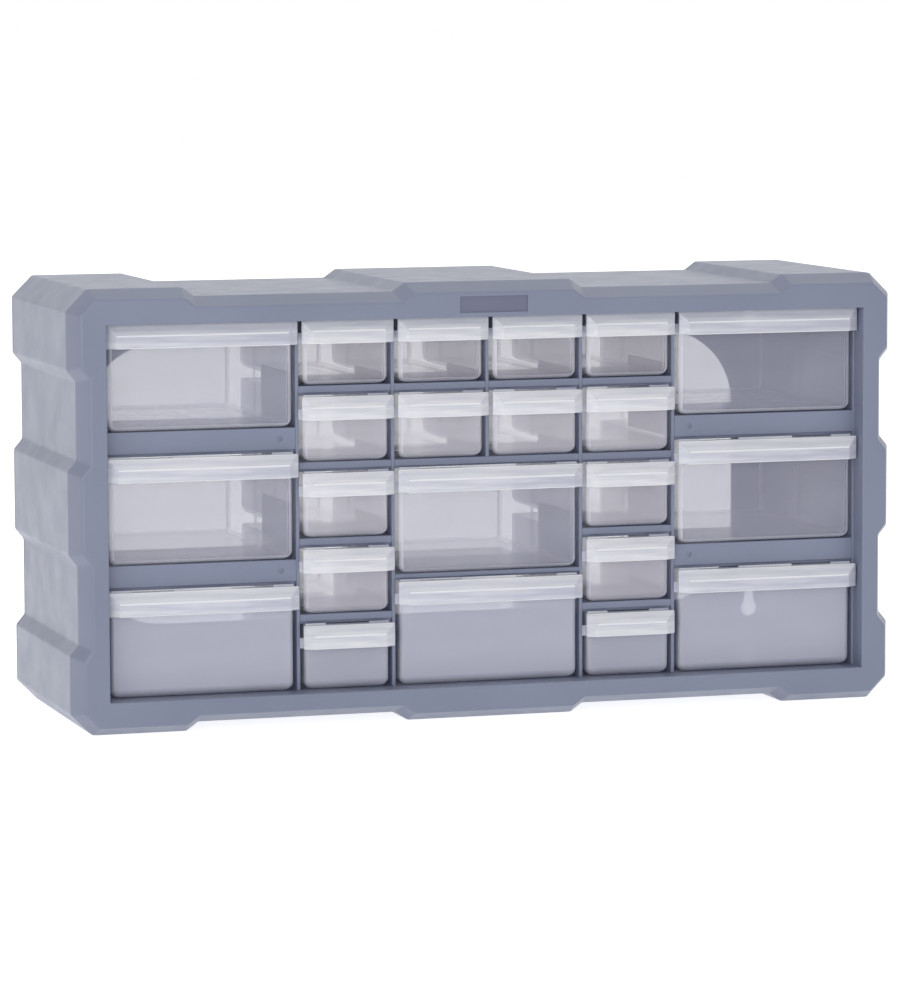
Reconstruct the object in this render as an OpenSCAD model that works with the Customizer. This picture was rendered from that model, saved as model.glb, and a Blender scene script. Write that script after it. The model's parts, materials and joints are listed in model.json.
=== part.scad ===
// Parts bin cabinet: a moulded case with a stepped outline, and two sizes of clear drawer.
// The front faces -Y, +X is to the right, and the case stands on z = 0 with its middle over the origin.

/* [Cabinet] */
// Overall width
cabinet_w = 490; // [460:1:560]
// Overall depth, from the face of the bezel to the back
cabinet_d = 160; // [145:1:220]
// Overall height
cabinet_h = 250; // [240:1:300]
// Wall of the casing and of the bezel
wall_t = 2.5; // [2:0.1:3]
// Cut across each corner of the outline
corner_cut = 12; // [6:0.5:16]

/* [Stepped outline] */
// How far the recesses of the outline are set in
step_depth = 5; // [2:0.5:6]
// Run of the slope into a recess of the top or the underside
step_run_long = 7; // [4:0.5:12]
// Run of the slope into a recess of a side
step_run_side = 6; // [4:0.5:10]
// Length of the raised part at each end of the top and the underside
end_foot_w = 66; // [40:1:80]
// Length of the raised part in the middle of the top and the underside
middle_foot_w = 98; // [60:1:120]
// Height of the raised part at each end of a side
end_step_h = 45; // [30:1:50]
// Height of the raised part in the middle of a side
middle_step_h = 47; // [30:1:60]

/* [Bezel] */
// Depth of the bezel, front to back
bezel_depth = 14; // [11:0.5:20]
// Straight edge of the bezel before its bevel starts
bezel_edge = 2; // [1:0.5:4]
// How far the bevel draws the face in
bezel_draw_in = 5.4; // [3:0.1:5.8]
// Width of the bezel beside the drawers
side_margin = 20; // [18:0.5:26]
// Height of the bezel above the drawers
top_margin = 18; // [17:0.5:24]
// Height of the bezel below the drawers
bottom_margin = 19.5; // [17:0.5:26]
// Width of the blank label recess
label_w = 40; // [20:1:60]
// Height of the blank label recess
label_h = 9.1; // [5:0.1:9.5]
// Depth of the blank label recess
label_depth = 0.8; // [0.4:0.1:1.2]

/* [Back frame] */
// Thickness of the back frame
back_t = 2.5; // [2:0.1:4]
// Width of the back frame beside its window
window_side = 42.5; // [26:0.5:60]
// Height of the back frame above and below its window
window_end = 41.5; // [36:0.5:60]
// Radius of the window's corners
window_r = 45; // [8:1:55]
// Keyholes, in from each side of the cabinet
keyhole_in = 31; // [26:0.5:34]
// Keyholes, in from the underside and from the top
keyhole_end = 36; // [28:0.5:42]
// Diameter of a keyhole's wide part, which a screw's head passes
keyhole_d = 10.5; // [8:0.5:13]
// Width of a keyhole's neck, which a screw's shank hangs in
keyhole_neck_w = 6.5; // [4:0.5:7.5]
// Height of the neck's round end over the middle of the wide part
keyhole_rise = 8; // [7:0.5:12]

/* [Lattice] */
// Thickness of the uprights and of the side guides
upright_t = 2; // [1.5:0.1:3]
// Thickness of the shelves and of the lattice's top and bottom plates
plate_t = 2; // [1.5:0.1:3]
// Depth of the lattice behind the bezel
lattice_depth = 76; // [50:1:90]
// Depth of the full-height post at the front of an upright
post_depth = 12; // [8:1:30]
// Height of the guide fence beside a large drawer
tall_fence_h = 30; // [15:1:40]
// Height of the guide fence beside a small drawer
low_fence_h = 5; // [3:0.5:10]
// Height of the lip on a shelf under small drawers
shelf_lip_h = 4; // [3:0.1:6]
// Height of the lip on the shelf between the two large middle drawers
middle_lip_h = 2.5; // [2.1:0.1:5]
// Height of a rail between large side drawers
rail_h = 12.5; // [8:0.5:18]
// Thickness of a lip and of a rail's front
lip_t = 2.5; // [1.5:0.1:4]
// Thickness of the thin lip that hangs over the drawers' rims
rim_lip_t = 1; // [0.8:0.1:1.5]
// Gap between the thin lip and the rim under it
rim_gap = 0.3; // [0.2:0.1:0.5]
// Depth of the plate along a rail's lower edge
rail_foot_depth = 24; // [12:1:40]
// Diameter of the dimple in a rail
dimple_d = 3; // [2:0.5:5]
// Depth of the dimple in a rail
dimple_depth = 0.8; // [0.4:0.1:1.2]
// Dimple's centre, from the end of the rail nearest the middle
dimple_inset = 9; // [5:0.5:20]

/* [Drawers] */
// Running gap under a drawer
floor_gap = 0.3; // [0.2:0.1:0.6]
// Gap at each side of a drawer
side_gap = 2.3; // [1.5:0.1:3]
// Gap over the tabs of a small drawer
small_head_gap = 0.9; // [0.3:0.1:3]
// Least gap over the tabs of a large drawer
large_head_gap = 0.3; // [0.2:0.1:3]
// Gap between a drawer and the back frame
back_gap = 1.9; // [1:0.1:10]
// How far a drawer's front wall stands in front of the lattice
front_proud = 1.4; // [0.8:0.1:3]
// Wall of a drawer
drawer_wall = 1.8; // [1.2:0.1:2.4]
// Floor of a drawer
drawer_floor = 1.8; // [1.2:0.1:2.4]
// Radius of a drawer's lower corners, seen from the front
lower_corner_r = 5; // [3:0.5:8]
// Radius under a drawer's front and back
lower_end_r = 6; // [3:0.5:9]
// Size of the ribs that hold a divider card
rib_t = 1; // [0.6:0.1:1.5]
// Gap between the two ribs of a pair
rib_slot = 2; // [1:0.1:3]
// Middle of the pair of ribs, behind a drawer's front wall
rib_place = 74.5; // [40:0.5:100]
// Ribs' ends, below the drawer's rim
rib_drop = 4; // [1:0.5:10]

/* [Drawer hood] */
// Height of the hood over the finger gap
hood_h = 13.3; // [10:0.1:18]
// Wall of the hood
hood_wall = 1.5; // [1:0.1:1.8]
// How far the hood's widest part stands in front of the drawer's wall
hood_reach = 5.5; // [4:0.1:8]
// How much the hood flares out at each side
hood_flare = 2.2; // [1:0.1:2.4]
// Depth of the bevel around the hood's front panel
hood_bevel = 3; // [2:0.1:4]
// How far the bevel draws in each side of the hood's front panel
hood_side_in = 5.6; // [3:0.1:8]
// How far the bevel draws in the top of the hood's front panel
hood_top_in = 6.1; // [3:0.1:7]
// Height of the raised tabs on the hood
tab_h = 0.9; // [0.4:0.1:1.2]
// Width of a tab at the end of a hood
end_tab_w = 12; // [8:0.5:16]
// Width of the tab in the middle of a large drawer's hood
middle_tab_w = 33; // [20:1:40]
// Height of a stop ear
ear_h = 6; // [4:0.5:9]
// Thickness of a stop ear
ear_t = 1; // [0.7:0.1:1.2]
// Gap between a stop ear and the upright behind it
ear_gap = 0.3; // [0.2:0.1:0.5]
// How far a stop ear laps its upright
ear_lap = 0.6; // [0.3:0.1:0.7]

/* [Hidden] */
$fn = 64;
// Length by which a cutting shape passes the face it cuts
past = 1;

// Columns and rows: the small drawers share eight equal pitches, and five rows, of the opening
pitches = 8;
rows = 5;
side_rows = 3;
low_rows = 3;

// Depths, from the front
face_y = -cabinet_d / 2;
lattice_y = face_y + bezel_depth;
lattice_end_y = lattice_y + lattice_depth;
back_y = cabinet_d / 2 - back_t;
drawer_y = lattice_y - front_proud;
drawer_len = back_y - back_gap - drawer_y;

// Opening of the bezel
opening_w = cabinet_w - 2 * side_margin;
floor_z = bottom_margin;
ceiling_z = cabinet_h - top_margin;
opening_h = ceiling_z - floor_z;

// Bays
pitch = opening_w / pitches;
small_bay_w = pitch - upright_t;
large_bay_w = 2 * pitch - upright_t;
small_bay_h = (opening_h - (rows - 1) * shelf_lip_h) / rows;
side_bay_h = (opening_h - (side_rows - 1) * rail_h) / side_rows;
middle_top_z = small_floor(low_rows) - shelf_lip_h;
middle_bay_h = (middle_top_z - floor_z - middle_lip_h) / 2;

// Floor of each bay, counted from the bottom row, which is row 0
function small_floor(row) = floor_z + row * (small_bay_h + shelf_lip_h);
function side_floor(row) = floor_z + row * (side_bay_h + rail_h);
function middle_floor(row) = floor_z + row * (middle_bay_h + middle_lip_h);
small_floors = [for (row = [0 : rows - 1]) small_floor(row)];
side_floors = [for (row = [0 : side_rows - 1]) side_floor(row)];
middle_floors = [middle_floor(0), middle_floor(1)];

// Drawers
small_w = small_bay_w - 2 * side_gap;
small_h = small_bay_h - floor_gap - tab_h - small_head_gap;
large_w = large_bay_w - 2 * side_gap;
large_h = min(middle_bay_h, side_bay_h) - floor_gap - tab_h - large_head_gap;

// How far the thin lip hangs from the top of a bay that holds a drawer of height h
function lip_drop(bay_h, h) = bay_h - floor_gap - h - rim_gap;
small_drop = lip_drop(small_bay_h, small_h);
middle_drop = lip_drop(middle_bay_h, large_h);
side_drop = lip_drop(side_bay_h, large_h);

// Bays, as [left upright, right upright] counted in pitches from the middle
small_bays = [[-2, -1], [-1, 0], [0, 1], [1, 2]];
side_bays = [[-pitches / 2, -2], [2, pitches / 2]];
low_bays = [[-2, -1], [1, 2]];
middle_bay = [-1, 1];

// The faces of the two uprights beside a bay
function bay_x0(bay) = bay[0] * pitch + upright_t / 2;
function bay_x1(bay) = bay[1] * pitch - upright_t / 2;

// Columns of drawers, as [name, centre x]
top_columns = [["a", -1.5 * pitch], ["b", -0.5 * pitch], ["c", 0.5 * pitch], ["d", 1.5 * pitch]];
low_columns = [["left", -1.5 * pitch], ["right", 1.5 * pitch]];
side_columns = [["left", -3 * pitch], ["right", 3 * pitch]];

// Every drawer, as [name, centre x, floor z]; rows are numbered from the bottom
small_drawers = concat(
    [for (row = [0 : low_rows - 1], column = low_columns)
        [str("drawer_small_row_", row + 1, "_", column[0]), column[1], small_floor(row)]],
    [for (row = [low_rows : rows - 1], column = top_columns)
        [str("drawer_small_row_", row + 1, "_", column[0]), column[1], small_floor(row)]]);
large_drawers = concat(
    [for (row = [0 : side_rows - 1], column = side_columns)
        [str("drawer_large_row_", row + 1, "_", column[0]), column[1], side_floor(row)]],
    [for (row = [0 : 1])
        [str("drawer_large_row_", row + 1, "_middle"), 0, middle_floor(row)]]);

case_colour = [0.46, 0.50, 0.60];
lattice_colour = [0.42, 0.46, 0.56];
drawer_colour = [0.86, 0.87, 0.89, 0.6];

// ---- Outlines ----

// A closed outline drawn in by t all round; the points run anticlockwise
function inset(points, t) =
    let (n = len(points))
    [for (i = [0 : n - 1])
        let (before = points[i] - points[(i + n - 1) % n],
             after = points[(i + 1) % n] - points[i],
             n1 = [-before[1], before[0]] / norm(before),
             n2 = [-after[1], after[0]] / norm(after))
        points[i] + (n1 + n2) * t / (1 + n1 * n2)];

// One edge of the cabinet's outline, as [place along it, set-in], from one corner cut to the other
function edge(length, end, middle, run) =
    let (half = [[-length / 2 + corner_cut, 0], [-length / 2 + end, 0],
                 [-length / 2 + end + run, step_depth], [-middle / 2 - run, step_depth],
                 [-middle / 2, 0]],
         last = len(half) - 1)
    concat(half, [for (i = [last : -1 : 0]) [-half[i][0], half[i][1]]]);

long_edge = edge(cabinet_w, end_foot_w, middle_foot_w, step_run_long);
side_edge = edge(cabinet_h, end_step_h, middle_step_h, step_run_side);

// The whole outline, seen from the front: underside, right, top, left
case_outline = concat(
    [for (p = long_edge) [p[0], p[1]]],
    [for (p = side_edge) [cabinet_w / 2 - p[1], cabinet_h / 2 + p[0]]],
    [for (p = long_edge) [-p[0], cabinet_h - p[1]]],
    [for (p = side_edge) [-cabinet_w / 2 + p[1], cabinet_h / 2 - p[0]]]);

// ---- Helpers ----

// A shape drawn in X and Z, made solid from y0 back to y1
module along_y(y0, y1) {
    translate([0, y1, 0])
        rotate([90, 0, 0])
            linear_extrude(y1 - y0)
                children();
}

// A shape drawn in Y and Z, made solid across the width w
module along_x(w) {
    rotate([90, 0, 90])
        linear_extrude(w, center = true)
            children();
}

// A block from its low corner to its high corner
module block(low, high) {
    translate(low)
        cube(high - low);
}

// A closed band through rings of points, each ring [depth, outline], the last joined to the first
module band(rings) {
    m = len(rings);
    n = len(rings[0][1]);
    points = [for (ring = rings, p = ring[1]) [p[0], ring[0], p[1]]];
    faces = [for (k = [0 : m - 1], i = [0 : n - 1])
        let (next = (k + 1) % m, j = (i + 1) % n) [next * n + i, next * n + j, k * n + j, k * n + i]];
    polyhedron(points, faces);
}

// The opening of the bezel, made larger by t all round
module opening(t = 0) {
    translate([-opening_w / 2 - t, floor_z - t])
        square([opening_w + 2 * t, opening_h + 2 * t]);
}

// Points brought in to the nearest place just inside the opening
function within_opening(points) =
    let (x = opening_w / 2 - past, low = floor_z + past, high = ceiling_z - past)
    [for (p = points) [max(-x, min(x, p[0])), max(low, min(high, p[1]))]];

// A rectangle with four round corners
module rounded_rectangle(low, high, r) {
    translate([low[0] + r, low[1]])
        square([high[0] - low[0] - 2 * r, high[1] - low[1]]);
    translate([low[0], low[1] + r])
        square([high[0] - low[0], high[1] - low[1] - 2 * r]);
    for (x = [low[0] + r, high[0] - r], y = [low[1] + r, high[1] - r])
        translate([x, y])
            circle(r);
}

// A rectangle from (x0, 0) to (x1, h) with its two lower corners round
module round_bottom(x0, x1, h, r) {
    translate([x0, r])
        square([x1 - x0, h - r]);
    translate([x0 + r, 0])
        square([x1 - x0 - 2 * r, h]);
    for (x = [x0 + r, x1 - r])
        translate([x, r])
            circle(r);
}

// ---- Case ----

// The bevelled frame at the front, hollow from behind
module front_bezel() {
    label_z = (ceiling_z + cabinet_h - bezel_draw_in) / 2;
    color(case_colour)
        difference() {
            band([[lattice_y, case_outline],
                  [lattice_y - bezel_edge, case_outline],
                  [face_y, inset(case_outline, bezel_draw_in)],
                  [face_y, within_opening(case_outline)],
                  [lattice_y, within_opening(case_outline)]]);
            along_y(face_y - past, lattice_y + past)
                opening();
            // hollow between the outer and the inner wall
            along_y(face_y + wall_t, lattice_y + past)
                difference() {
                    polygon(inset(case_outline, bezel_draw_in + wall_t));
                    opening(wall_t);
                }
            // blank recess for a label
            block([-label_w / 2, face_y - past, label_z - label_h / 2],
                  [label_w / 2, face_y + label_depth, label_z + label_h / 2]);
        }
}

// The stepped sleeve around the drawers
module outer_casing() {
    color(case_colour)
        along_y(lattice_y, back_y)
            difference() {
                polygon(case_outline);
                polygon(inset(case_outline, wall_t));
            }
}

// A keyhole, drawn with the middle of its wide part at the origin
module keyhole() {
    circle(d = keyhole_d);
    translate([-keyhole_neck_w / 2, 0])
        square([keyhole_neck_w, keyhole_rise]);
    translate([0, keyhole_rise])
        circle(d = keyhole_neck_w);
}

// The open frame that holds the back of the casing square
module back_frame() {
    keyhole_x = cabinet_w / 2 - keyhole_in;
    color(case_colour)
        difference() {
            along_y(back_y, cabinet_d / 2)
                polygon(case_outline);
            along_y(back_y - past, cabinet_d / 2 + past) {
                rounded_rectangle([-cabinet_w / 2 + window_side, window_end],
                                  [cabinet_w / 2 - window_side, cabinet_h - window_end], window_r);
                for (x = [-keyhole_x, keyhole_x], z = [keyhole_end, cabinet_h - keyhole_end])
                    translate([x, z])
                        keyhole();
            }
        }
}

// ---- Lattice ----

// The plate over the top row, or under the bottom row
module lattice_plate(z) {
    guide_x = opening_w / 2 + upright_t / 2;
    block([-guide_x, lattice_y, z], [guide_x, lattice_end_y, z + plate_t]);
}

// A thin lip across a bay, which hangs from z to just above the drawer's rim
module rim_lip(bay, z, drop) {
    back = lattice_y + lip_t;
    block([bay_x0(bay), back - rim_lip_t, z - drop], [bay_x1(bay), back, z]);
}

module lattice_top() {
    color(lattice_colour)
        union() {
            lattice_plate(ceiling_z);
            for (bay = small_bays)
                rim_lip(bay, ceiling_z, small_drop);
            for (bay = side_bays)
                rim_lip(bay, ceiling_z, side_drop);
        }
}

module lattice_bottom() {
    color(lattice_colour)
        lattice_plate(floor_z - plate_t);
}

// One guide fence, from the underside of the floor's edge to a height above the floor
module fence(x, floor, edge_h, h) {
    below = floor > floor_z ? edge_h : 0;
    block([x - upright_t / 2, lattice_y, floor - below],
          [x + upright_t / 2, lattice_end_y, floor + h]);
}

// An upright: a front post over the full height, and fences along the bays beside it
module upright(x, from_z, low_floors, tall_floors, tall_edge_h) {
    color(lattice_colour)
        union() {
            block([x - upright_t / 2, lattice_y, from_z],
                  [x + upright_t / 2, lattice_y + post_depth, ceiling_z]);
            for (floor = low_floors)
                fence(x, floor, shelf_lip_h, low_fence_h);
            for (floor = tall_floors)
                fence(x, floor, tall_edge_h, tall_fence_h);
        }
}

module side_guide_left() {
    upright(-opening_w / 2, floor_z, [], side_floors, rail_h);
}

module side_guide_right() {
    upright(opening_w / 2, floor_z, [], side_floors, rail_h);
}

module divider_left() {
    upright(-2 * pitch, floor_z, small_floors, side_floors, rail_h);
}

module divider_right() {
    upright(2 * pitch, floor_z, small_floors, side_floors, rail_h);
}

module divider_inner_left() {
    upright(-pitch, floor_z, small_floors, middle_floors, middle_lip_h);
}

module divider_inner_right() {
    upright(pitch, floor_z, small_floors, middle_floors, middle_lip_h);
}

// The short divider between the middle small drawers, on the shelf over the large ones
module divider_centre() {
    top_floors = [for (row = [low_rows : rows - 1]) small_floor(row)];
    color(lattice_colour)
        union() {
            block([-upright_t / 2, lattice_y, top_floors[0]],
                  [upright_t / 2, lattice_y + post_depth, ceiling_z]);
            for (floor = top_floors)
                block([-upright_t / 2, lattice_y, max(floor - shelf_lip_h, top_floors[0])],
                      [upright_t / 2, lattice_end_y, floor + low_fence_h]);
        }
}

// A shelf across a bay, with a lip along its front and a thin lip over the rims below it
module shelf(bay, floor, lip_h, drop) {
    x0 = bay_x0(bay);
    x1 = bay_x1(bay);
    color(lattice_colour)
        union() {
            block([x0, lattice_y, floor - plate_t], [x1, lattice_end_y, floor]);
            block([x0, lattice_y, floor - lip_h], [x1, lattice_y + lip_t, floor]);
            rim_lip(bay, floor - lip_h, drop);
        }
}

// The shelf under a row of small drawers, with a piece for each bay that it crosses
module shelf_row(row) {
    floor = small_floor(row);
    for (bay = row > low_rows ? small_bays : low_bays)
        shelf(bay, floor, shelf_lip_h, small_drop);
    if (row == low_rows)
        shelf(middle_bay, floor, shelf_lip_h, middle_drop);
}

module shelf_middle() {
    shelf(middle_bay, middle_floor(1), middle_lip_h, middle_drop);
}

// A rail between two large side drawers: a channel with a tall front and a dimple in it
module rail(side, row) {
    floor = side_floor(row);
    bay = side_bays[side < 0 ? 0 : 1];
    color(lattice_colour)
        difference() {
            union() {
                shelf(bay, floor, rail_h, side_drop);
                block([bay_x0(bay), lattice_y, floor - rail_h],
                      [bay_x1(bay), lattice_y + rail_foot_depth, floor - rail_h + plate_t]);
            }
            translate([side * (2 * pitch + upright_t / 2 + dimple_inset), lattice_y + dimple_depth,
                       floor - rail_h / 2])
                rotate([90, 0, 0])
                    cylinder(h = dimple_depth + past, d = dimple_d);
        }
}

module rail_left_upper() {
    rail(-1, 2);
}

module rail_left_lower() {
    rail(-1, 1);
}

module rail_right_upper() {
    rail(1, 2);
}

module rail_right_lower() {
    rail(1, 1);
}

// ---- Drawers ----
// A drawer is drawn with the middle of its front wall's lower edge at the origin.

// The hood seen from above, reaching back over the drawer's front wall by the hood's own wall
function hood_plan(w) =
    let (wide = w / 2 + hood_flare, panel = w / 2 + hood_flare - hood_side_in)
    [[w / 2, hood_wall], [-w / 2, hood_wall], [-w / 2, 0], [-wide, -hood_reach],
     [-panel, -hood_reach - hood_bevel], [panel, -hood_reach - hood_bevel],
     [wide, -hood_reach], [w / 2, 0]];

// The hood seen from its side, with its lower edge lowered by drop
function hood_side(h, drop) =
    [[hood_wall, h], [-hood_reach, h], [-hood_reach - hood_bevel, h - hood_top_in],
     [-hood_reach - hood_bevel, h - hood_h - drop], [hood_wall, h - hood_h - drop]];

// The space common to the two views of the hood
module hood_form(w, h, plan, side) {
    intersection() {
        linear_extrude(h + past)
            polygon(plan);
        along_x(2 * w)
            polygon(side);
    }
}

module hood(w, h) {
    difference() {
        hood_form(w, h, hood_plan(w), hood_side(h, 0));
        hood_form(w, h, inset(hood_plan(w), hood_wall), inset(hood_side(h, 2 * hood_wall), hood_wall));
    }
}

// A box with its lower edges round, from y0 to y1
module tub(w, y0, y1, h, corner_r, end_r) {
    intersection() {
        along_y(y0, y1)
            round_bottom(-w / 2, w / 2, h, corner_r);
        along_x(w + past)
            round_bottom(y0, y1, h, end_r);
    }
}

// Tabs on the hood's top, as [centre x, width]
function end_tabs(w) = [for (side = [-1, 1]) [side * (w - end_tab_w) / 2, end_tab_w]];

module drawer(w, h, tabs) {
    rib_x = w / 2 - drawer_wall;
    color(drawer_colour)
        union() {
            difference() {
                tub(w, 0, drawer_len, h, lower_corner_r, lower_end_r);
                translate([0, 0, drawer_floor])
                    tub(w - 2 * drawer_wall, drawer_wall, drawer_len - drawer_wall, h,
                        lower_corner_r - drawer_wall, lower_end_r - drawer_wall);
            }
            hood(w, h);
            for (tab = tabs)
                block([tab[0] - tab[1] / 2, -hood_wall, h], [tab[0] + tab[1] / 2, 0, h + tab_h]);
            for (side = [-1, 1]) {
                // ribs for a divider card
                for (end = [-1, 1])
                    translate([side * rib_x, rib_place + end * (rib_slot + rib_t) / 2, drawer_floor])
                        translate([-rib_t, -rib_t / 2, 0])
                            cube([2 * rib_t, rib_t, h - drawer_floor - rib_drop]);
                // ear that stops the drawer against its upright
                scale_x = side_gap + ear_lap + drawer_wall / 2;
                translate([side * (w / 2 + side_gap + ear_lap - scale_x / 2),
                           front_proud - ear_gap - ear_t / 2, h - hood_h + ear_h / 2])
                    cube([scale_x, ear_t, ear_h], center = true);
            }
        }
}

// A drawer at its place in the cabinet
module drawer_at(place, w, h, tabs) {
    translate([place[1], drawer_y, place[2] + floor_gap])
        drawer(w, h, tabs);
}

module drawer_small(place) {
    drawer_at(place, small_w, small_h, end_tabs(small_w));
}

module drawer_large(place) {
    drawer_at(place, large_w, large_h, concat(end_tabs(large_w), [[0, middle_tab_w]]));
}

// ---- Pieces ----

front_bezel();
outer_casing();
back_frame();
lattice_top();
lattice_bottom();
side_guide_left();
side_guide_right();
divider_left();
divider_inner_left();
divider_centre();
divider_inner_right();
divider_right();
rail_left_upper();
rail_left_lower();
rail_right_upper();
rail_right_lower();
shelf_middle();
for (row = [1 : rows - 1])
    shelf_row(row);
for (place = small_drawers)
    drawer_small(place);
for (place = large_drawers)
    drawer_large(place);
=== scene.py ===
import json
import math

import bmesh
import bpy
from mathutils import Matrix, Vector


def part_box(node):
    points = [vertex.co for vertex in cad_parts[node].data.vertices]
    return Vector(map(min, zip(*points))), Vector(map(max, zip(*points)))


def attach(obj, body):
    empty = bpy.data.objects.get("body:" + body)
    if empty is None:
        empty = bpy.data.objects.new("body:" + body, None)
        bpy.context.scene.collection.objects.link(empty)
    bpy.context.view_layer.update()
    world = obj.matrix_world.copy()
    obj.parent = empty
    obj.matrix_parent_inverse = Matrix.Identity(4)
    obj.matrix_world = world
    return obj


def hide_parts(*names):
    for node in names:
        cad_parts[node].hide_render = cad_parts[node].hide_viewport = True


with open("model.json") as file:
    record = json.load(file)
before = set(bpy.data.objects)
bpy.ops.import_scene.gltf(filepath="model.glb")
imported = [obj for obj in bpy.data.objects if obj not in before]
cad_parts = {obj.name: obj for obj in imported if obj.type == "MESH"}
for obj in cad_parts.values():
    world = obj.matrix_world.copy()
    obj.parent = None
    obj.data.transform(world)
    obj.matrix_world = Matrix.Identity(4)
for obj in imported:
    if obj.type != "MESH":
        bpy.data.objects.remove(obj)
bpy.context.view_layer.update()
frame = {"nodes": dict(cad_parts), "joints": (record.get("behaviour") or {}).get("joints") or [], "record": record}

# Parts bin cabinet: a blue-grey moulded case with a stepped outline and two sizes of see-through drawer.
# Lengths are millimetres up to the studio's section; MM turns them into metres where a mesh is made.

MM = 0.001

# ---- Sizes that the frame gives ----

CASE_LOW, CASE_HIGH = [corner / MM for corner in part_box("front_bezel")]
BACK_LOW, BACK_HIGH = [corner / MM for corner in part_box("back_frame")]
PLATE_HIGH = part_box("lattice_bottom")[1] / MM
CEILING_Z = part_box("lattice_top")[0].z / MM
WIDTH = CASE_HIGH.x - CASE_LOW.x
HEIGHT = CASE_HIGH.z - CASE_LOW.z
FACE_Y = CASE_LOW.y
LATTICE_Y = CASE_HIGH.y
FLOOR_Z = PLATE_HIGH.z

# ---- Sizes of the case, as its solids have them ----

WALL = 2.5
CORNER_CUT = 12.0
STEP_DEPTH = 5.0
LONG_EDGE = {"end": 66.0, "middle": 98.0, "run": 7.0}
SIDE_EDGE = {"end": 45.0, "middle": 47.0, "run": 6.0}
BEZEL_EDGE = 2.0
BEZEL_DRAW_IN = 5.4
GUIDE_LAP = 1.0
OPENING_X = PLATE_HIGH.x - GUIDE_LAP
LABEL_SIZE = (40.0, 9.1)
LABEL_DEPTH = 0.8
WINDOW_SIDE = 42.5
WINDOW_END = 41.5
WINDOW_R = 45.0
KEYHOLE_IN = 31.0
KEYHOLE_END = 36.0
KEYHOLE_R = 5.25
KEYHOLE_NECK_R = 3.25
KEYHOLE_RISE = 8.0

# ---- Sizes of a drawer, as its solid has them ----

HOOD_HEIGHT = 13.3
HOOD_WALL = 1.5
HOOD_REACH = 5.5
HOOD_FLARE = 2.2
HOOD_BEVEL = 3.0
HOOD_SIDE_IN = 5.6
HOOD_TOP_IN = 6.1
TAB_HEIGHT = 0.9
END_TAB = 12.0
MIDDLE_TAB = 33.0
EAR_OUT = 2.9
EAR_FRONT = 0.1
EAR_SIZE = (1.0, 6.0)
DRAWER_WALL = 1.8
LOWER_R = 5.0
RIB_PLACE = 74.5
RIB_SPREAD = 1.5
RIB_SIZE = 1.0
RIB_DROP = 4.0
TAB_SUNK = 0.4

# How much of the hood's wall shows as a set-in of its panel, its knee and its shoulder
PANEL_SHARE = 0.45
KNEE_SHARE = 0.62
SHOULDER_SHARE = 0.23

# ---- Roundings, which only the looks have ----

OUTLINE_R = 3.0
OUTLINE_STEPS = 4
FACE_R = 1.8
LIP_R = 0.7
LABEL_MOUTH = 0.3
END_CHAMFER = 0.4
LATTICE_R = 0.35
DRAWER_CORNER_R = 2.2
INNER_CORNER_R = 1.0
HOOD_R = 0.45
HOOD_SEGMENTS = 3
RIM_R = 0.6
TAB_R = 0.25
RIB_R = 0.2

# Steps of each arc
SHOULDER_STEPS = 6
LIP_STEPS = 5
KEYHOLE_STEPS = 24
WINDOW_STEPS = 10
LOWER_STEPS = 6
RIM_STEPS = 3
CORNER_STEPS = 4

# ---- Limits for making and colouring the meshes ----

MERGE_M = 1e-6
FLAT_ANGLE = math.radians(0.5)
SHARP_ANGLE = math.radians(25)
SMOOTH_ANGLE = math.radians(35)
SHORT_EDGE = 1.0
# a cutter reaches this far past the face that it cuts
CUT_PAST = 1.0
# this keeps two corners of the space in a hood from coinciding
HAIR = 0.01
# a lower edge takes the whiter edge plastic, a painted highlight, where it has turned under by more than this
# share
UNDERSIDE = 0.5
# a face of the hood counts as its top from this upward share of its normal; the top is painted lighter, as lit
# from above
TOP_FACING = 0.3
# and a rounded edge of the hood takes the painted highlight when it runs across the drawer by this share of its
# direction
CROSSWISE = 0.9


# ---- Outlines ----

def inset(points, t):
    """A closed anticlockwise outline, drawn in by t all round."""
    moved = []
    for i, here in enumerate(points):
        before = (here - points[i - 1]).normalized()
        after = (points[(i + 1) % len(points)] - here).normalized()
        n1 = Vector((-before.y, before.x))
        n2 = Vector((-after.y, after.x))
        moved.append(here + (n1 + n2) * t / (1 + n1.dot(n2)))
    return moved


def fillet(points, radius, steps):
    """The outline with an arc of the given radius at each corner."""
    arcs = []
    for i, here in enumerate(points):
        before = (points[i - 1] - here).normalized()
        after = (points[(i + 1) % len(points)] - here).normalized()
        half = before.angle(after) / 2
        start = here + before * radius / math.tan(half)
        centre = here + (before + after).normalized() * radius / math.sin(half)
        end = here + after * radius / math.tan(half)
        a, b = start - centre, end - centre
        turn = a.angle_signed(b)
        for k in range(steps + 1):
            spoke = a.copy()
            spoke.rotate(Matrix.Rotation(-turn * k / steps, 2))
            arcs.append(centre + spoke)
    return arcs


def edge_profile(length, end, middle, run):
    """One edge of the case's outline, as (place along it, set-in)."""
    half = [(-length / 2 + CORNER_CUT, 0), (-length / 2 + end, 0), (-length / 2 + end + run, STEP_DEPTH),
            (-middle / 2 - run, STEP_DEPTH), (-middle / 2, 0)]
    return half + [(-along, depth) for along, depth in reversed(half)]


def case_outline(drawn_in=0.0):
    """The case seen from the front, with round corners, drawn in all round."""
    long_edge = edge_profile(WIDTH, **LONG_EDGE)
    side_edge = edge_profile(HEIGHT, **SIDE_EDGE)
    under = [Vector((a, d)) for a, d in long_edge]
    right = [Vector((WIDTH / 2 - d, HEIGHT / 2 + a)) for a, d in side_edge]
    top = [Vector((-a, HEIGHT - d)) for a, d in long_edge]
    left = [Vector((-WIDTH / 2 + d, HEIGHT / 2 - a)) for a, d in side_edge]
    return fillet(inset(under + right + top + left, drawn_in), OUTLINE_R, OUTLINE_STEPS)


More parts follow.
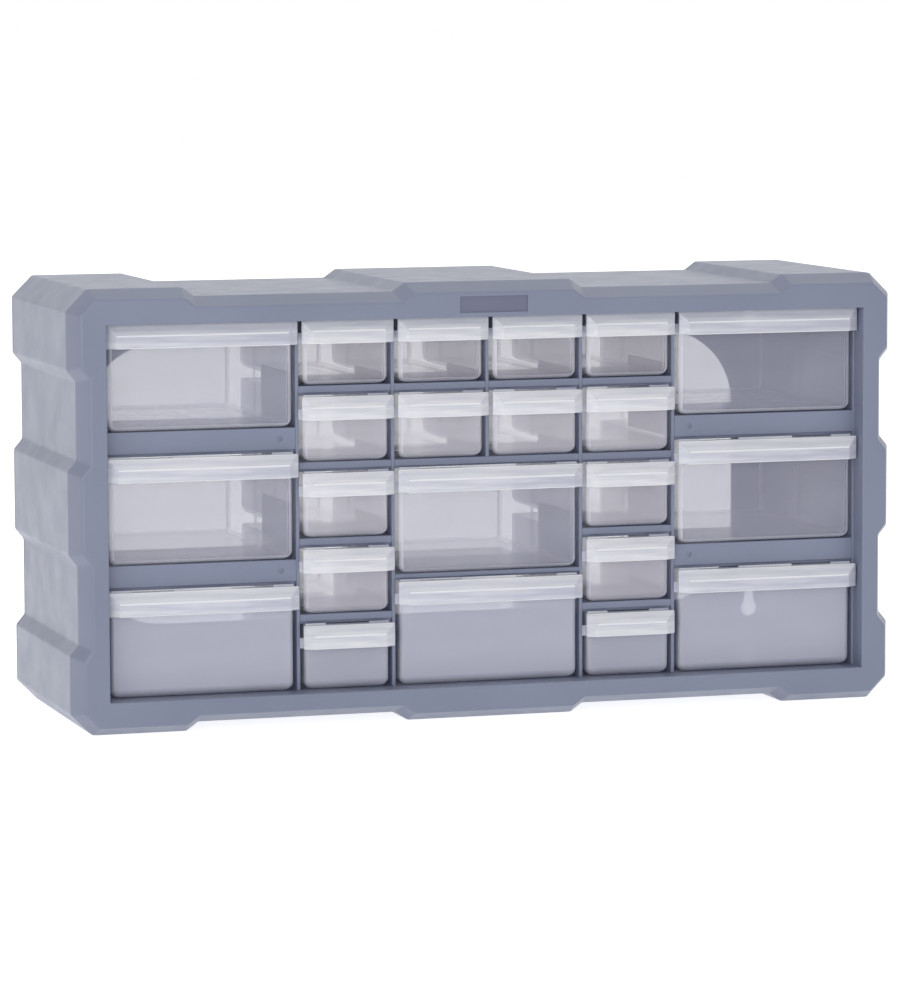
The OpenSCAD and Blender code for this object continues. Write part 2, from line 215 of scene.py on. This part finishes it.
def on_opening(points, out=0.0):
    """Each point brought to the nearest place on the edge of the bezel's opening, made larger by out."""
    x, low, high = OPENING_X + out, FLOOR_Z - out, CEILING_Z + out
    return [Vector((max(-x, min(x, p.x)), max(low, min(high, p.y)))) for p in points]


def rounded_rectangle(x, y0, y1, radius, steps):
    """An anticlockwise rectangle from (-x, y0) to (x, y1) with round corners."""
    corners = [Vector((-x, y0)), Vector((x, y0)), Vector((x, y1)), Vector((-x, y1))]
    return fillet(corners, radius, steps)


def keyhole(x, z, flare):
    """An anticlockwise keyhole with the middle of its wide part at (x, z), made larger by flare."""
    wide, neck = KEYHOLE_R + flare, KEYHOLE_NECK_R + flare
    mouth = math.asin(neck / wide)
    neck_steps = KEYHOLE_STEPS // 2
    round_part = [math.pi / 2 + mouth + (math.tau - 2 * mouth) * k / KEYHOLE_STEPS
                  for k in range(KEYHOLE_STEPS + 1)]
    neck_end = [math.pi * k / neck_steps for k in range(neck_steps + 1)]
    return ([Vector((x + wide * math.cos(a), z + wide * math.sin(a))) for a in round_part]
            + [Vector((x + neck * math.cos(a), z + KEYHOLE_RISE + neck * math.sin(a))) for a in neck_end])


def arc(start, end, steps):
    """Pairs (share of the first length, share of the second) along a quarter circle."""
    angles = [start + (end - start) * k / steps for k in range(steps + 1)]
    return [(math.cos(math.radians(a)), math.sin(math.radians(a))) for a in angles]


# ---- Mesh helpers ----

def bridge(bm, rings, closed=False, caps=False, surface=lambda band, side: 0):
    """Faces between rings of equally many vertices, with caps or with the last ring joined to the first.
    surface(band, side) gives a face's material index; the caps come before and after the other bands."""
    made = [[bm.verts.new(Vector(p) * MM) for p in ring] for ring in rings]
    count = len(made[0])
    pairs = list(zip(made, made[1:]))
    if closed:
        pairs.append((made[-1], made[0]))
    for band, (low, high) in enumerate(pairs):
        for i in range(count):
            j = (i + 1) % count
            face = bm.faces.new((low[i], low[j], high[j], high[i]))
            face.material_index = surface(band, i)
    if caps:
        bm.faces.new(reversed(made[0])).material_index = surface(-1, 0)
        bm.faces.new(made[-1]).material_index = surface(len(pairs), 0)


def tidy(bm):
    """Merges what coincides and turns every face outward."""
    bmesh.ops.remove_doubles(bm, verts=bm.verts, dist=MERGE_M)
    bmesh.ops.dissolve_degenerate(bm, dist=MERGE_M, edges=bm.edges)
    bmesh.ops.recalc_face_normals(bm, faces=bm.faces)


def join_flat_faces(bm):
    """Makes one face of those that lie in one plane."""
    bmesh.ops.dissolve_limit(bm, angle_limit=FLAT_ANGLE, verts=bm.verts, edges=bm.edges)


def soften(bm, radius, segments=2, shortest=0.0):
    """Rounds the sharp edges that are longer than shortest, and gives the new faces."""
    picked = [edge for edge in bm.edges
              if len(edge.link_faces) == 2 and edge.calc_face_angle(0) > SHARP_ANGLE
              and edge.calc_length() > shortest * MM]
    return bmesh.ops.bevel(bm, geom=picked, offset=radius * MM, segments=segments, profile=0.5,
                           affect="EDGES", clamp_overlap=True)["faces"]


def block(bm, low, high):
    """A box from its low corner to its high corner."""
    centre = (Vector(low) + Vector(high)) / 2 * MM
    size = (Vector(high) - Vector(low)) * MM
    bmesh.ops.create_cube(bm, size=1.0, matrix=Matrix.Translation(centre) @ Matrix.Diagonal((*size, 1)))


def hull(bm, points):
    """The convex solid around some points."""
    verts = [bm.verts.new(Vector(p) * MM) for p in points]
    bmesh.ops.convex_hull(bm, input=verts)
    join_flat_faces(bm)


def to_mesh(bm, name, slots=0):
    """The finished mesh, with empty material slots for its faces' indices."""
    mesh = bpy.data.meshes.new(name)
    for _ in range(slots):
        mesh.materials.append(None)
    bm.to_mesh(mesh)
    bm.free()
    return mesh


def combined(base, others, operation):
    """The base mesh with the others added to it or cut from it, as one closed mesh."""
    scratch = bpy.data.objects.new("scratch", base)
    bpy.context.scene.collection.objects.link(scratch)
    tools = []
    for mesh in others:
        tool = bpy.data.objects.new("tool", mesh)
        bpy.context.scene.collection.objects.link(tool)
        tools.append(tool)
        step = scratch.modifiers.new("step", "BOOLEAN")
        step.operation = operation
        step.solver = "MANIFOLD"
        step.object = tool
    bpy.context.view_layer.update()
    result = bpy.data.meshes.new_from_object(scratch.evaluated_get(bpy.context.evaluated_depsgraph_get()))
    for extra in [scratch, *tools]:
        bpy.data.objects.remove(extra)
    return result


def add_piece(name, mesh, materials, body, nodes, place=(0, 0, 0)):
    """A finished piece: smooth where its faces meet gently, riding on its body, in place of its nodes."""
    mesh.name = name
    while len(mesh.materials) < len(materials):
        mesh.materials.append(None)
    for index, material in enumerate(materials):
        mesh.materials[index] = material
    for face in mesh.polygons:
        face.use_smooth = True
    mesh.set_sharp_from_angle(angle=SMOOTH_ANGLE)
    piece = bpy.data.objects.new(name, mesh)
    bpy.context.scene.collection.objects.link(piece)
    piece.location = Vector(place) * MM
    weighted = piece.modifiers.new("flat_faces_stay_flat", "WEIGHTED_NORMAL")
    weighted.keep_sharp = True
    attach(piece, body)
    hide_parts(*nodes)


# ---- Camera ----

def add_camera():
    """The photograph's view: from the left and a little above, with a long lens. The values are fitted to
    the cabinet's outline in the photograph."""
    yaw, pitch, roll = 0.2971, 0.1053, -0.0039
    distance = 2737.4
    aim = Vector((0, 0, 127.5))
    aside, aloft = -2.15, -9.68
    focal_px, long_side_px, sensor = 4675.7, 1000.0, 36.0
    forward = Vector((math.sin(yaw) * math.cos(pitch), math.cos(yaw) * math.cos(pitch), -math.sin(pitch)))
    level = Vector((math.cos(yaw), -math.sin(yaw), 0))
    rise = level.cross(forward)
    right = level * math.cos(roll) + rise * math.sin(roll)
    up = rise * math.cos(roll) - level * math.sin(roll)
    data = bpy.data.cameras.new("camera")
    data.sensor_width = sensor
    data.lens = focal_px / long_side_px * sensor
    data.clip_end = 50
    camera = bpy.data.objects.new("camera", data)
    bpy.context.scene.collection.objects.link(camera)
    place = aim - forward * distance + level * aside + rise * aloft
    camera.matrix_world = (Matrix.Translation(place * MM)
                           @ Matrix((right, up, -forward)).transposed().to_4x4())
    bpy.context.scene.camera = camera


add_camera()


# ---- Materials ----

# Noise patterns: scale per metre, detail and roughness
CASE_DRIFT = (9.0, 3.0, 0.5)
CASE_RUB = (60.0, 4.0, 0.6)
CASE_GRAIN = (2600.0, 2.0, 0.5)
CASE_WAVES = (35.0, 1.0, 0.4)
DRAWER_PATCHES = (14.0, 3.0, 0.55)
DRAWER_RUB = (45.0, 3.0, 0.6)
DRAWER_RIPPLE = (40.0, 1.0, 0.4)

# The values of a noise pattern lie mostly between these
NOISE_LOW, NOISE_HIGH = 0.3, 0.7
# and the case's two colours are reached at these
DRIFT_LOW, DRIFT_HIGH = 0.35, 0.65

# Bumps: strength and depth in metres
WAVE_BUMP = (0.07, 0.0006)
GRAIN_BUMP = (0.12, 0.00006)
RIPPLE_BUMP = (0.05, 0.0004)

# How the rubbed places change the roughness: added on the case, multiplied on the drawers
CASE_GLOSS = (-0.05, 0.06)
DRAWER_GLOSS = (0.8, 1.25)

CASE_IOR = 1.5
DRAWER_IOR = 1.49


def shader(name):
    """A material with its tree, its shader and a helper that adds nodes."""
    material = bpy.data.materials.new(name)
    material.use_nodes = True
    tree = material.node_tree
    principled = tree.nodes["Principled BSDF"]

    def add(kind, inputs=None):
        node = tree.nodes.new(kind)
        for key, value in (inputs or {}).items():
            if isinstance(value, bpy.types.NodeSocket):
                tree.links.new(value, node.inputs[key])
            else:
                node.inputs[key].default_value = value
        return node

    return material, tree, principled, add


def noise(add, place, scale, detail, roughness):
    """A noise pattern over the piece, its scale counted per metre."""
    return add("ShaderNodeTexNoise", {"Vector": place, "Scale": scale, "Detail": detail,
                                      "Roughness": roughness}).outputs["Fac"]


def spread(add, pattern, low, high):
    """A noise pattern brought from its usual range to low and high."""
    return add("ShaderNodeMapRange", {"Value": pattern, "From Min": NOISE_LOW, "From Max": NOISE_HIGH,
                                      "To Min": low, "To Max": high}).outputs["Result"]


def bumped(add, pattern, strength, depth):
    """A bump node that raises and sinks the face after a pattern."""
    return add("ShaderNodeBump", {"Height": pattern, "Strength": strength, "Distance": depth})


def ramp(add, pattern, start, end):
    """A colour ramp from one (place, colour) to another."""
    node = add("ShaderNodeValToRGB", {"Fac": pattern})
    for element, (place, colour) in zip(node.color_ramp.elements, (start, end)):
        element.position = place
        element.color = (*colour, 1)
    return node.outputs["Color"]


def srgb(*values):
    """A colour written as 0-255 values, as linear light."""
    return tuple((v / 255 / 12.92) if v < 10 else ((v / 255 + 0.055) / 1.055) ** 2.4 for v in values)


def moulded_plastic(name, low, high, roughness):
    """Opaque moulded plastic: slow drifts between two colours, an uneven gloss, a fine grain and faint
    waves in its faces."""
    material, tree, principled, add = shader(name)
    place = add("ShaderNodeTexCoord").outputs["Object"]
    drift = noise(add, place, *CASE_DRIFT)
    tint = ramp(add, drift, (DRIFT_LOW, srgb(*low)), (DRIFT_HIGH, srgb(*high)))
    tree.links.new(tint, principled.inputs["Base Color"])
    rub = noise(add, place, *CASE_RUB)
    gloss = spread(add, rub, *[roughness + change for change in CASE_GLOSS])
    tree.links.new(gloss, principled.inputs["Roughness"])
    grain = noise(add, place, *CASE_GRAIN)
    waves = noise(add, place, *CASE_WAVES)
    wavy = bumped(add, waves, *WAVE_BUMP)
    grained = bumped(add, grain, *GRAIN_BUMP)
    tree.links.new(wavy.outputs["Normal"], grained.inputs["Normal"])
    tree.links.new(grained.outputs["Normal"], principled.inputs["Normal"])
    principled.inputs["IOR"].default_value = CASE_IOR
    return material


def milky_plastic(name, haze, tint, roughness=0.15, drift=4, streaks=(1.0, 1.0, 1.0)):
    """Thin milky plastic: see-through but for its haze, with an uneven gloss and a faint ripple.
    Its tint drifts up and down by drift, in patches that streaks draws out along an axis."""
    material, tree, principled, add = shader(name)
    place = add("ShaderNodeTexCoord").outputs["Object"]
    drawn_out = add("ShaderNodeMapping", {"Vector": place, "Scale": streaks}).outputs["Vector"]
    patches = noise(add, drawn_out, *DRAWER_PATCHES)
    low, high = [srgb(*[min(255, value + shift) for value in tint]) for shift in (-drift, drift)]
    colour = ramp(add, patches, (NOISE_LOW, low), (NOISE_HIGH, high))
    tree.links.new(colour, principled.inputs["Base Color"])
    rub = noise(add, place, *DRAWER_RUB)
    gloss = spread(add, rub, *[roughness * change for change in DRAWER_GLOSS])
    tree.links.new(gloss, principled.inputs["Roughness"])
    ripple = noise(add, place, *DRAWER_RIPPLE)
    rippled = bumped(add, ripple, *RIPPLE_BUMP)
    tree.links.new(rippled.outputs["Normal"], principled.inputs["Normal"])
    principled.inputs["IOR"].default_value = DRAWER_IOR
    principled.inputs["Alpha"].default_value = haze
    return material


CASE = moulded_plastic("case_plastic", (124, 131, 153), (130, 137, 159), 0.35)
# the label recess's plastic: the case's made darker, as painted shade in the recess
LABEL_SHADE = moulded_plastic("label_recess_painted_shade", (104, 108, 132), (111, 115, 139), 0.45)
# the lattice's plastic: a touch lighter than the case's, as painted light on the lattice set back in the bezel's
# opening
LATTICE_LIGHTENED = moulded_plastic("lattice_plastic", (126, 133, 156), (132, 139, 162), 0.35)

# Surfaces of a drawer, in the order of its material slots
SURFACES = 9
OUTSIDE, INSIDE, LIT_DRAWER_FLOOR, EDGE_HIGHLIGHT, RIB, HOOD, HOOD_TOP_LIT, HOOD_INSIDE, HOOD_EDGE_HIGHLIGHT = range(SURFACES)

# Haze, tint and drift of the outer walls of each row, from the bottom up. The rows differ by painted light: the
# bottom row is painted hazier and whiter, and the top row of small drawers darker, as painted shade.
LARGE_WALLS_LIT_BY_ROW = ((0.52, (230, 232, 252), 3), (0.34, (193, 195, 218), 8), (0.34, (191, 194, 218), 8))
SMALL_WALLS_LIT_BY_ROW = ((0.5, (230, 232, 252), 3), (0.37, (236, 232, 247), 7), (0.38, (238, 234, 247), 7),
               (0.38, (238, 234, 247), 7), (0.31, (206, 203, 218), 8))
WALL_STREAKS = (0.8, 1.0, 3.5)
# the hood's patches are drawn out along the drawer into streaks of painted light and shade
HOOD_LIGHT_STREAKS = (1.0, 5.0, 14.0)

# The surfaces that all rows share
SHARED = {
    INSIDE: milky_plastic("drawer_inner_plastic", 0.27, (192, 190, 202)),
    # whiter and hazier than the walls: painted light in the drawers' floors
    LIT_DRAWER_FLOOR: milky_plastic("drawer_floor_painted_light", 0.6, (240, 239, 244)),
    # whiter and less clear than the walls: a painted highlight on the rims, the upright corners and the lower
    # edges
    EDGE_HIGHLIGHT: milky_plastic("drawer_edge_painted_highlight", 0.5, (230, 231, 245)),
    RIB: milky_plastic("divider_rib_plastic", 0.2, (196, 195, 206)),
    # the hood's milky plastic, its tint drifting strongly in streaks of painted light and shade
    HOOD: milky_plastic("hood_painted_streak_plastic", 0.74, (224, 226, 245), roughness=0.12, drift=26,
                        streaks=HOOD_LIGHT_STREAKS),
    # hazier and lighter than the rest of the hood: painted light on its upward faces
    HOOD_TOP_LIT: milky_plastic("hood_top_painted_light", 0.79, (232, 234, 248), roughness=0.12, drift=20,
                            streaks=HOOD_LIGHT_STREAKS),
    HOOD_INSIDE: milky_plastic("hood_inner_plastic", 0.3, (222, 222, 234), roughness=0.12),
    # near white and near opaque: a painted highlight on the hood's rounded edges that run across the drawer
    HOOD_EDGE_HIGHLIGHT: milky_plastic("hood_edge_painted_highlight", 0.9, (247, 248, 253), roughness=0.1),
}


def drawer_plastics(size, walls):
    """The materials of each row of one size of drawer, in the order of the slots."""
    rows = []
    # each row's outer walls carry that row's painted light and shade
    for row, (haze, tint, drift) in enumerate(walls):
        name = f"{size}_drawer_plastic_{row + 1}"
        outer = milky_plastic(name, haze, tint, drift=drift, streaks=WALL_STREAKS)
        rows.append([outer] + [SHARED[surface] for surface in range(INSIDE, SURFACES)])
    return rows


PLASTICS = {"large": drawer_plastics("large", LARGE_WALLS_LIT_BY_ROW), "small": drawer_plastics("small", SMALL_WALLS_LIT_BY_ROW)}


# ---- Case ----

def ring_at(outline, y):
    """The outline's points at one depth."""
    return [(p.x, y, p.y) for p in outline]


def make_bezel():
    """The bevelled frame: outside edge, bevel, round shoulder, flat face, and the walls of the opening."""
    base = case_outline()
    slope = math.atan2(BEZEL_DRAW_IN, LATTICE_Y - BEZEL_EDGE - FACE_Y)
    profile = [(LATTICE_Y, END_CHAMFER), (LATTICE_Y - END_CHAMFER, 0), (LATTICE_Y - BEZEL_EDGE, 0)]
    # the shoulder turns from the bevel's slope to the flat face
    centre_y = FACE_Y + FACE_R
    reach = FACE_R * math.tan((math.pi / 2 - slope) / 2)
    centre_in = BEZEL_DRAW_IN + reach
    for k in range(SHOULDER_STEPS + 1):
        turn = slope + (math.pi / 2 - slope) * k / SHOULDER_STEPS
        profile.append((centre_y - FACE_R * math.sin(turn), centre_in - FACE_R * math.cos(turn)))
    rings = [ring_at(case_outline(drawn_in), y) for y, drawn_in in profile]
    rings.append(ring_at(on_opening(base, LIP_R), FACE_Y))
    for out, back in arc(0, 90, LIP_STEPS)[1:]:
        rings.append(ring_at(on_opening(base, LIP_R * (1 - back)), FACE_Y + LIP_R * (1 - out)))
    rings.append(ring_at(on_opening(base), LATTICE_Y))
    bm = bmesh.new()
    bridge(bm, rings, closed=True)
    tidy(bm)
    frame_mesh = to_mesh(bm, "bezel", 2)
    # the blank label recess, with a chamfered mouth; its walls and floor take a darker plastic, as painted shade
    # in the recess
    label_z = (CEILING_Z + HEIGHT - BEZEL_DRAW_IN) / 2
    x, z = LABEL_SIZE[0] / 2, LABEL_SIZE[1] / 2
    cutter = bmesh.new()
    levels = [(FACE_Y - CUT_PAST, LABEL_MOUTH), (FACE_Y, LABEL_MOUTH), (FACE_Y + LABEL_MOUTH, 0),
              (FACE_Y + LABEL_DEPTH, 0)]
    bridge(cutter, [[(sx * (x + grow), y, label_z + sz * (z + grow))
                     for sx, sz in ((-1, -1), (1, -1), (1, 1), (-1, 1))] for y, grow in levels],
           caps=True, surface=lambda band, side: int(band > 1))
    tidy(cutter)
    mesh = combined(frame_mesh, [to_mesh(cutter, "label_cut", 2)], "DIFFERENCE")
    add_piece("front_bezel_moulding", mesh, [CASE, LABEL_SHADE], "cabinet", ["front_bezel"])


def make_casing():
    """The stepped sleeve, open at both ends."""
    front, back = LATTICE_Y, BACK_LOW.y
    profile = [(front, END_CHAMFER), (front + END_CHAMFER, 0), (back - END_CHAMFER, 0), (back, END_CHAMFER),
               (back, WALL), (front, WALL)]
    bm = bmesh.new()
    bridge(bm, [ring_at(case_outline(drawn_in), y) for y, drawn_in in profile], closed=True)
    tidy(bm)
    add_piece("outer_casing_moulding", to_mesh(bm, "casing"), [CASE], "cabinet",
              ["outer_casing"])


def make_back_frame():
    """The open back frame, with its window and a keyhole at each corner."""
    y0, y1 = BACK_LOW.y, BACK_HIGH.y
    slab = bmesh.new()
    levels = [(y0, END_CHAMFER), (y0 + END_CHAMFER, 0), (y1 - END_CHAMFER, 0), (y1, END_CHAMFER)]
    bridge(slab, [ring_at(case_outline(drawn_in), y) for y, drawn_in in levels], caps=True)
    tidy(slab)
    flares = [(y0 - CUT_PAST, 0), (y0, 0), (y1 - END_CHAMFER, 0), (y1, END_CHAMFER),
              (y1 + CUT_PAST, END_CHAMFER)]
    window = bmesh.new()
    x, z0, z1 = WIDTH / 2 - WINDOW_SIDE, WINDOW_END, HEIGHT - WINDOW_END
    bridge(window, [ring_at(rounded_rectangle(x + flare, z0 - flare, z1 + flare, WINDOW_R, WINDOW_STEPS), y)
                    for y, flare in flares], caps=True)
    tidy(window)
    cuts = [to_mesh(window, "window_cut")]
    keyhole_x = WIDTH / 2 - KEYHOLE_IN
    for x, z in [(x, z) for x in (-keyhole_x, keyhole_x) for z in (KEYHOLE_END, HEIGHT - KEYHOLE_END)]:
        hole = bmesh.new()
        bridge(hole, [ring_at(keyhole(x, z, flare), y) for y, flare in flares], caps=True)
        tidy(hole)
        cuts.append(to_mesh(hole, "hole_cut"))
    mesh = combined(to_mesh(slab, "slab"), cuts, "DIFFERENCE")
    add_piece("back_frame_moulding", mesh, [CASE], "cabinet", ["back_frame"])


def make_lattice():
    """Each upright, shelf and rail, with its edges rounded as a moulding's are."""
    case_nodes = ("front_bezel", "outer_casing", "back_frame")
    for node in frame["record"]["behaviour"]["bodies"]["cabinet"]:
        if node in case_nodes:
            continue
        bm = bmesh.new()
        bm.from_mesh(frame["nodes"][node].data)
        bmesh.ops.remove_doubles(bm, verts=bm.verts, dist=MERGE_M)
        join_flat_faces(bm)
        soften(bm, LATTICE_R, shortest=SHORT_EDGE)
        add_piece(node + "_moulding", to_mesh(bm, node), [LATTICE_LIGHTENED], "cabinet", [node])


# ---- Drawers ----
# A drawer is drawn with the middle of its front wall's lower edge at the origin.

def shell_mesh(width, length, height):
    """The open box: round lower edges, round upright corners, and a round rim."""
    inner_r = LOWER_R - DRAWER_WALL
    # each level is (drawn in, height, corner radius), with the surface from there to the next level
    levels = []
    for flat, risen in arc(-90, 0, LOWER_STEPS):
        levels.append((LOWER_R * (1 - flat), LOWER_R * (1 + risen), DRAWER_CORNER_R,
                       EDGE_HIGHLIGHT if risen < -UNDERSIDE else OUTSIDE))
    for flat, risen in arc(0, 90, RIM_STEPS):
        levels.append((RIM_R * (1 - flat), height - RIM_R * (1 - risen), DRAWER_CORNER_R, EDGE_HIGHLIGHT))
    for flat, risen in arc(90, 180, RIM_STEPS):
        levels.append((DRAWER_WALL - RIM_R * (1 + flat), height - RIM_R * (1 - risen), INNER_CORNER_R, EDGE_HIGHLIGHT))
    levels[-1] = (*levels[-1][:-1], INSIDE)
    for flat, risen in arc(0, -90, LOWER_STEPS):
        levels.append((LOWER_R - inner_r * flat, LOWER_R + inner_r * risen, INNER_CORNER_R, INSIDE))
    levels[-1] = (*levels[-1][:-1], LIT_DRAWER_FLOOR)
    rings = [[(p.x, p.y, z)
              for p in rounded_rectangle(width / 2 - drawn_in, drawn_in, length - drawn_in, r, CORNER_STEPS)]
             for drawn_in, z, r, _ in levels]

    # the rim, the upright corners and the turned-under lower edge take the painted highlight
    def surface(band, side):
        if band < 0:
            return OUTSIDE
        on_corner = side % (CORNER_STEPS + 1) < CORNER_STEPS
        plain = levels[band][-1]
        return EDGE_HIGHLIGHT if on_corner and plain != LIT_DRAWER_FLOOR else plain

    bm = bmesh.new()
    bridge(bm, rings, caps=True, surface=surface)
    tidy(bm)
    return to_mesh(bm, "shell", SURFACES)


def hood_points(width, height, wall, low):
    """Corners of the hood's outer form, or of the space in it when a wall is given."""
    wide = width / 2 + HOOD_FLARE - wall
    near = width / 2 - wall
    panel = width / 2 + HOOD_FLARE - HOOD_SIDE_IN - wall * PANEL_SHARE
    top = height - wall
    front = -HOOD_REACH - HOOD_BEVEL + wall
    knee = -HOOD_REACH + wall * KNEE_SHARE
    shoulder = height - HOOD_TOP_IN - wall * SHOULDER_SHARE
    back = HOOD_WALL - wall
    root = 0 if wall == 0 else -HAIR
    points = []
    for side in (-1, 1):
        for z in (low, top):
            points += [(side * near, back, z), (side * near, root, z), (side * wide, knee, z)]
        points += [(side * panel, front, low), (side * panel, front, shoulder)]
    return points


def hood_mesh(width, height):
    """The hollow hood over the finger gap, with its edges rounded."""
    outer = bmesh.new()
    hull(outer, hood_points(width, height, 0, height - HOOD_HEIGHT))
    inner = bmesh.new()
    hull(inner, hood_points(width, height, HOOD_WALL, height - HOOD_HEIGHT - 2 * CUT_PAST))
    outer.normal_update()
    # upward faces take the lighter plastic, painted light from above
    for face in outer.faces:
        face.material_index = HOOD_TOP_LIT if face.normal.z > TOP_FACING else HOOD
    for face in inner.faces:
        face.material_index = HOOD_INSIDE
    mesh = combined(to_mesh(outer, "hood", SURFACES), [to_mesh(inner, "gap", SURFACES)], "DIFFERENCE")
    bm = bmesh.new()
    bm.from_mesh(mesh)
    join_flat_faces(bm)
    # the rounded edges that run across the drawer take the painted highlight
    for face in soften(bm, HOOD_R, segments=HOOD_SEGMENTS, shortest=SHORT_EDGE):
        longest = max(face.edges, key=lambda edge: edge.calc_length())
        along = (longest.verts[1].co - longest.verts[0].co).normalized()
        face.material_index = HOOD_EDGE_HIGHLIGHT if abs(along.x) > CROSSWISE else HOOD
    return to_mesh(bm, "hood", SURFACES)


def box_mesh(low, high, radius, surface):
    """A small block with rounded edges."""
    bm = bmesh.new()
    block(bm, low, high)
    soften(bm, radius)
    for face in bm.faces:
        face.material_index = surface
    return to_mesh(bm, "block", SURFACES)


def drawer_mesh(width, length, height, with_middle_tab):
    """One whole drawer: shell, hood, tabs, ribs for a divider card, and stop ears."""
    parts = [hood_mesh(width, height)]
    tabs = [(side * (width - END_TAB) / 2, END_TAB) for side in (-1, 1)]
    if with_middle_tab:
        tabs.append((0, MIDDLE_TAB))
    for x, tab_width in tabs:
        parts.append(box_mesh((x - tab_width / 2, -HOOD_WALL, height - TAB_SUNK),
                              (x + tab_width / 2, 0, height + TAB_HEIGHT), TAB_R, HOOD))
    for side in (-1, 1):
        wall_x = side * (width / 2 - DRAWER_WALL / 2)
        rib_x = side * (width / 2 - DRAWER_WALL - RIB_SIZE)
        for end in (-1, 1):
            y = RIB_PLACE + end * RIB_SPREAD
            parts.append(box_mesh((min(wall_x, rib_x), y - RIB_SIZE / 2, DRAWER_WALL / 2),
                                  (max(wall_x, rib_x), y + RIB_SIZE / 2, height - RIB_DROP), RIB_R, RIB))
        ear_x = side * (width / 2 + EAR_OUT)
        ear_z = height - HOOD_HEIGHT
        ear_back, ear_top = EAR_FRONT + EAR_SIZE[0], ear_z + EAR_SIZE[1]
        # the stop ears take the edges' painted highlight too
        parts.append(box_mesh((min(wall_x, ear_x), EAR_FRONT, ear_z),
                              (max(wall_x, ear_x), ear_back, ear_top), RIB_R, EDGE_HIGHLIGHT))
    return combined(shell_mesh(width, length, height), parts, "UNION")


def make_drawers():
    """Every drawer at its node's place; those of one size share the work of making the mesh."""
    made = {}
    for joint in frame["joints"]:
        node = joint["child"]
        low, high = [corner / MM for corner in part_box(node)]
        width = high.x - low.x - 2 * EAR_OUT
        length = high.y - low.y - HOOD_REACH - HOOD_BEVEL
        height = high.z - low.z - TAB_HEIGHT
        size = (round(width, 2), round(length, 2), round(height, 2))
        kind = "large" if "large" in node else "small"
        if size not in made:
            made[size] = drawer_mesh(*size, with_middle_tab=kind == "large")
        row = int(node.split("_row_")[1].split("_")[0]) - 1
        place = ((low.x + high.x) / 2, low.y + HOOD_REACH + HOOD_BEVEL, low.z)
        add_piece(node + "_moulding", made[size].copy(), PLASTICS[kind][row], node,
                  [node], place)


make_bezel()
make_casing()
make_back_frame()
make_lattice()
make_drawers()


# ---- Studio, in metres ----

WORLD_LEVEL = 0.48
WORLD_SEEN = 1.0
FLOOR_SIZE = 12.0
FLOOR_COLOUR = (0.93, 0.93, 0.93)
FLOOR_ROUGHNESS = 0.9
FLOOR_GLOW = 0.8
FLOOR_BOUNCE = 0.3

# Each lamp's name, place, aim, size and power
LAMPS = (("key", (-1.6, -1.2, 1.5), (0, 0, 0.12), 1.2, 4),
         ("front", (-1.4, -3.0, 0.6), (0, 0, 0.1), 1.5, 28),
         ("top", (0.5, 0.1, 2.2), (0.1, 0, 0.12), 1.6, 7))

# A line of sight through the drawers crosses up to this many thin walls
WALLS_IN_LINE = 24


def seen_directly(tree):
    """1 for camera, mirror and glass rays, and 0 for the rays that light things."""
    path = tree.nodes.new("ShaderNodeLightPath")
    seen = path.outputs["Is Camera Ray"]
    for other in ("Is Glossy Ray", "Is Transmission Ray"):
        either = tree.nodes.new("ShaderNodeMath")
        either.operation = "MAXIMUM"
        tree.links.new(seen, either.inputs[0])
        tree.links.new(path.outputs[other], either.inputs[1])
        seen = either.outputs[0]
    return seen


def add_floor():
    """A plain white floor: it glows, most of all for the camera, and keeps the cabinet's shadow."""
    bm = bmesh.new()
    bmesh.ops.create_grid(bm, x_segments=1, y_segments=1, size=FLOOR_SIZE / 2)
    mesh = to_mesh(bm, "floor")
    material, tree, principled, add = shader("floor_white")
    principled.inputs["Base Color"].default_value = (*FLOOR_COLOUR, 1)
    principled.inputs["Roughness"].default_value = FLOOR_ROUGHNESS
    principled.inputs["Specular IOR Level"].default_value = 0.0
    principled.inputs["Emission Color"].default_value = (1, 1, 1, 1)
    glow = add("ShaderNodeMapRange", {"Value": seen_directly(tree),
                                      "To Min": FLOOR_BOUNCE, "To Max": FLOOR_GLOW})
    tree.links.new(glow.outputs["Result"], principled.inputs["Emission Strength"])
    mesh.materials.append(material)
    floor = bpy.data.objects.new("floor", mesh)
    bpy.context.scene.collection.objects.link(floor)


def add_world():
    """Soft light from all round, which camera, mirror and glass rays see as white."""
    world = bpy.data.worlds.new("studio")
    bpy.context.scene.world = world
    world.use_nodes = True
    tree = world.node_tree
    background = tree.nodes["Background"]
    background.inputs["Color"].default_value = (1, 1, 1, 1)
    level = tree.nodes.new("ShaderNodeMapRange")
    level.inputs["To Min"].default_value = WORLD_LEVEL
    level.inputs["To Max"].default_value = WORLD_SEEN
    tree.links.new(seen_directly(tree), level.inputs["Value"])
    tree.links.new(level.outputs["Result"], background.inputs["Strength"])


def add_lamp(name, place, aim, size, power):
    """A square soft lamp that points at a place."""
    data = bpy.data.lights.new(name, "AREA")
    data.shape = "SQUARE"
    data.size = size
    data.energy = power
    lamp = bpy.data.objects.new(name, data)
    bpy.context.scene.collection.objects.link(lamp)
    lamp.location = place
    lamp.rotation_mode = "QUATERNION"
    lamp.rotation_quaternion = (Vector(aim) - Vector(place)).to_track_quat("-Z", "Y")


add_floor()
add_world()
for lamp_values in LAMPS:
    add_lamp(*lamp_values)

bpy.context.scene.view_settings.view_transform = "Standard"
bpy.context.scene.cycles.transparent_max_bounces = WALLS_IN_LINE
